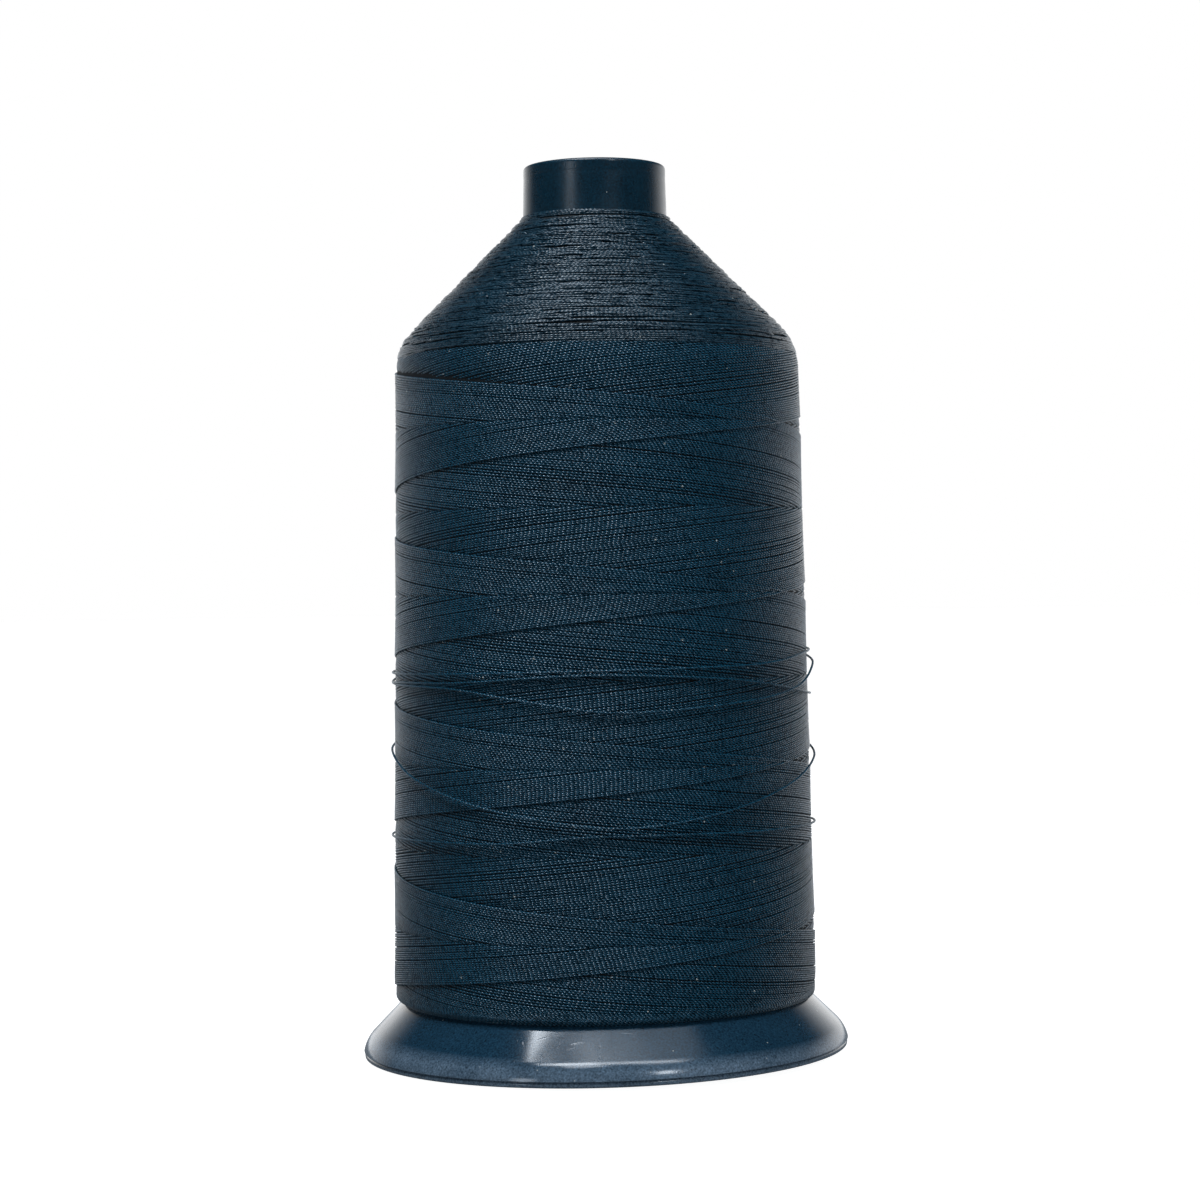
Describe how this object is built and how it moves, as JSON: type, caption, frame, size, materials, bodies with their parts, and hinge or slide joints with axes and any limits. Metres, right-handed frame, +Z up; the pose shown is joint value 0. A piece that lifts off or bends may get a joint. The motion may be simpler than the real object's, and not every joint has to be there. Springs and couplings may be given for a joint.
{
  "type": "spool of thread",
  "caption": "Tall spool of heavy bonded sewing thread: tapered hollow barrel on a flared round foot, cross-wound body with a conical top and a few loose turns.",
  "frame": {"origin": "centre of the foot's underside, on the surface the spool stands on", "axes": "+Z up along the spool's axis towards the collar, -Y is the front"},
  "size_m": [0.1, 0.1, 0.182],
  "materials": {
    "barrel_plastic": "satin black moulded plastic",
    "foot_plastic": "polished black moulded plastic with faint handling marks",
    "bonded_thread": "blue-black twisted filament thread with a resin bond"
  },
  "bodies": {
    "root": {"spool_barrel": "barrel_plastic", "spool_foot": "foot_plastic", "thread_winding": "bonded_thread", "loose_wrap_upper": "bonded_thread", "loose_wrap_middle": "bonded_thread", "loose_wrap_lower": "bonded_thread", "slack_loop_small": "bonded_thread", "slack_loop_large": "bonded_thread"}
  },
  "joints": []
}
